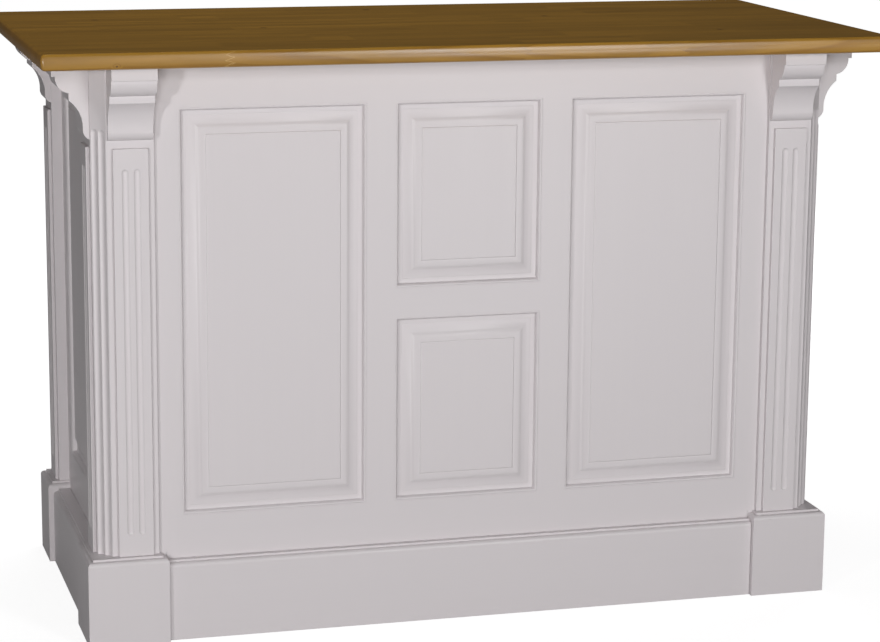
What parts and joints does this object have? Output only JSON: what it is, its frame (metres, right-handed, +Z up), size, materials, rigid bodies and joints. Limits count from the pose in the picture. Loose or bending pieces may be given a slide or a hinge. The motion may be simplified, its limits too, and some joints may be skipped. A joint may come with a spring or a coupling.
{
  "type": "bar counter",
  "caption": "Free-standing bar counter: painted frame base with raised panels, fluted corner posts, corbels and a plinth under an overhanging pine top, open shelves behind.",
  "frame": {"origin": "on the floor, under the middle of the top", "axes": "+Z up, +X along the counter to the right seen from the front, the panelled front faces -Y"},
  "size_m": [1.6, 0.8, 1.1],
  "materials": {
    "paint": "satin off-white paint on pine",
    "waxed_pine": "golden brown stain and wax",
    "inner_pine": "clear satin lacquer",
    "tenon_beech": "bare beech",
    "pin_steel": "zinc plated"
  },
  "bodies": {
    "root": {"centre_divider": "inner_pine", "corbel_front_left": "paint", "corbel_front_right": "paint", "corbel_side_front_left": "paint", "corbel_side_front_right": "paint", "corbel_side_rear_left": "paint", "corbel_side_rear_right": "paint", "corbel_tenons": "tenon_beech", "floor_board": "inner_pine", "fluted_board_front_left": "paint", "fluted_board_front_right": "paint", "fluted_board_side_front_left": "paint", "fluted_board_side_front_right": "paint", "fluted_board_side_rear_left": "paint", "fluted_board_side_rear_right": "paint", "front_bottom_rail": "paint", "front_centre_beads": "paint", "front_middle_rail": "paint", "front_muntin_left": "paint", "front_muntin_right": "paint", "front_panel_left": "paint", "front_panel_lower": "paint", "front_panel_right": "paint", "front_panel_upper": "paint", "front_stile_left": "paint", "front_stile_right": "paint", "front_tall_beads": "paint", "front_top_rail": "paint", "plinth_block_front_left": "paint", "plinth_block_front_right": "paint", "plinth_block_rear_left": "paint", "plinth_block_rear_right": "paint", "plinth_front": "paint", "plinth_side_left": "paint", "plinth_side_right": "paint", "post_front_left": "paint", "post_front_right": "paint", "post_rear_left": "paint", "post_rear_right": "paint", "rear_kick_rail": "paint", "rear_top_rail": "paint", "shelf_pins": "pin_steel", "shelves": "inner_pine", "side_beads": "paint", "side_bottom_rail_left": "paint", "side_bottom_rail_right": "paint", "side_panel_left": "paint", "side_panel_right": "paint", "side_stile_front_left": "paint", "side_stile_front_right": "paint", "side_stile_rear_left": "paint", "side_stile_rear_right": "paint", "side_top_rail_left": "paint", "side_top_rail_right": "paint", "top_cleats": "inner_pine", "worktop_front_stave": "waxed_pine", "worktop_middle_staves": "waxed_pine", "worktop_rear_stave": "waxed_pine"}
  },
  "joints": []
}
